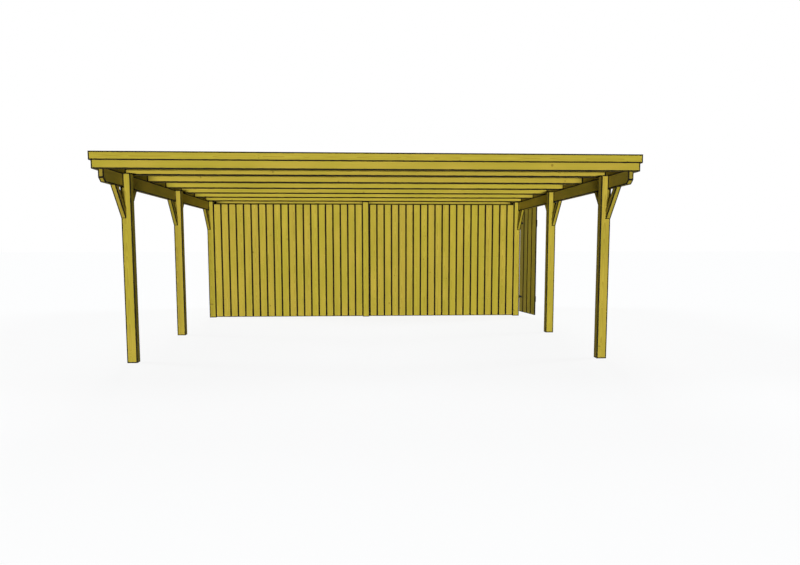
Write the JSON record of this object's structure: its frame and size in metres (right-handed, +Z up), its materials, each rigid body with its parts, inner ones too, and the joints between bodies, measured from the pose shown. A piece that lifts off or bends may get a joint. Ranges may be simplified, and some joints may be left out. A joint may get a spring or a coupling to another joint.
{
  "type": "double carport with store room",
  "caption": "Timber double carport, flat roof with stepped fascia on braced posts, boarded store room at the back with a hinged side door.",
  "frame": {"origin": "middle of the foot of the centre post in the boarded wall, on the ground", "axes": "+X to the right as seen from the open front, +Y from the open front to the back, +Z up"},
  "size_m": [6.12, 8.04, 2.4],
  "materials": {
    "frame_timber": "planed softwood, pressure treated, yellow-green",
    "fascia_boards": "planed softwood boards, pressure treated, yellow-green",
    "wall_boards": "planed upright softwood boards, pressure treated",
    "door_boards": "planed upright softwood boards, pressure treated",
    "roof_sheet": "coated steel sheet, grey, low gloss",
    "hinge_steel": "black coated steel, matt"
  },
  "bodies": {
    "frame": {"back_wall": "wall_boards", "back_wall_rails": "frame_timber", "bay_wall_left": "wall_boards", "bay_wall_rails": "frame_timber", "bay_wall_right": "wall_boards", "beam_left": "frame_timber", "beam_right": "frame_timber", "brace_wall_left": "frame_timber", "brace_wall_right": "frame_timber", "braces_front_left": "frame_timber", "braces_front_right": "frame_timber", "braces_middle_left": "frame_timber", "braces_middle_right": "frame_timber", "door_pintles": "hinge_steel", "door_studs": "frame_timber", "fascia_lower_back": "fascia_boards", "fascia_lower_front": "fascia_boards", "fascia_lower_left": "fascia_boards", "fascia_lower_right": "fascia_boards", "fascia_upper_back": "fascia_boards", "fascia_upper_front": "fascia_boards", "fascia_upper_left": "fascia_boards", "fascia_upper_right": "fascia_boards", "post_back_centre": "frame_timber", "post_back_left": "frame_timber", "post_back_right": "frame_timber", "post_front_left": "frame_timber", "post_front_right": "frame_timber", "post_middle_left": "frame_timber", "post_middle_right": "frame_timber", "post_wall_centre": "frame_timber", "post_wall_left": "frame_timber", "post_wall_right": "frame_timber", "rafter_1": "frame_timber", "rafter_2": "frame_timber", "rafter_3": "frame_timber", "rafter_4": "frame_timber", "rafter_5": "frame_timber", "rafter_6": "frame_timber", "rafter_7": "frame_timber", "rafter_8": "frame_timber", "rafter_9": "frame_timber", "roof_sheets": "roof_sheet", "side_rails_left": "frame_timber", "side_rails_right_back": "frame_timber", "side_rails_right_front": "frame_timber", "side_wall_left": "wall_boards", "side_wall_right_back": "wall_boards", "side_wall_right_front": "wall_boards"},
    "door": {"door_leaf": "door_boards", "door_ledges": "frame_timber", "door_diagonal": "frame_timber", "door_straps": "hinge_steel"}
  },
  "joints": [
    {"name": "door_hinge", "type": "hinge", "parent": "frame", "child": "door", "pos_m": [2.955, 0.205, 1.05], "axis": [0, 0, 1], "range_deg": [-4.5, 170.5]}
  ]
}
